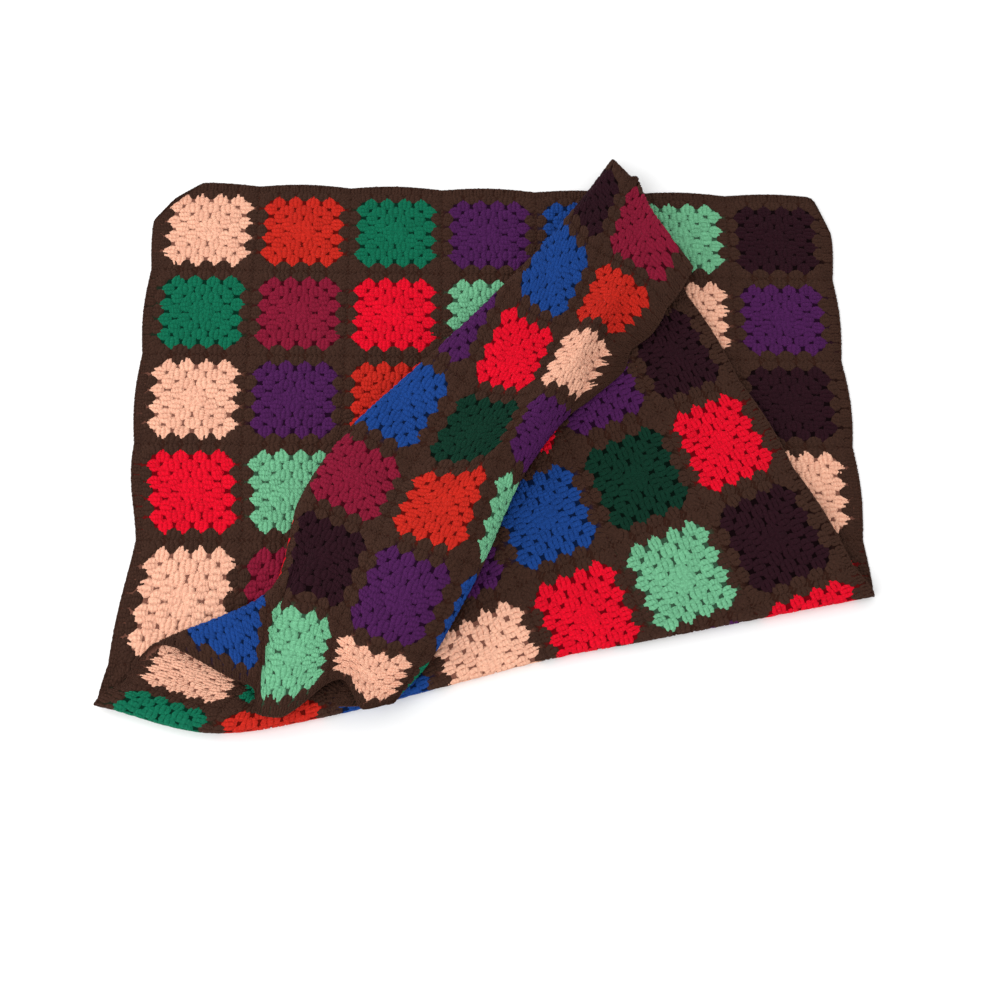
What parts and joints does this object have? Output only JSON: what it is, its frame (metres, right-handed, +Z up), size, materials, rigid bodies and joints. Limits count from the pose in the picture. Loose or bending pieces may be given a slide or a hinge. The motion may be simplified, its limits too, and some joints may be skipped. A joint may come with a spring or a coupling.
{
  "type": "granny square blanket",
  "caption": "Crochet granny square blanket, folded over twice on the skew and lying in three soft layers on a flat surface.",
  "frame": {"origin": "centre of the folded blanket's box, on the surface that it lies on", "axes": "+Z up, +X along the blanket's top edge towards its last column, +Y away from the first turn towards the top edge"},
  "size_m": [1.011, 0.8608, 0.0802],
  "materials": {
    "yarn": "matt acrylic crochet yarn, dark brown joins with squares in many colours"
  },
  "bodies": {
    "root": {"blanket": "yarn"}
  },
  "joints": []
}
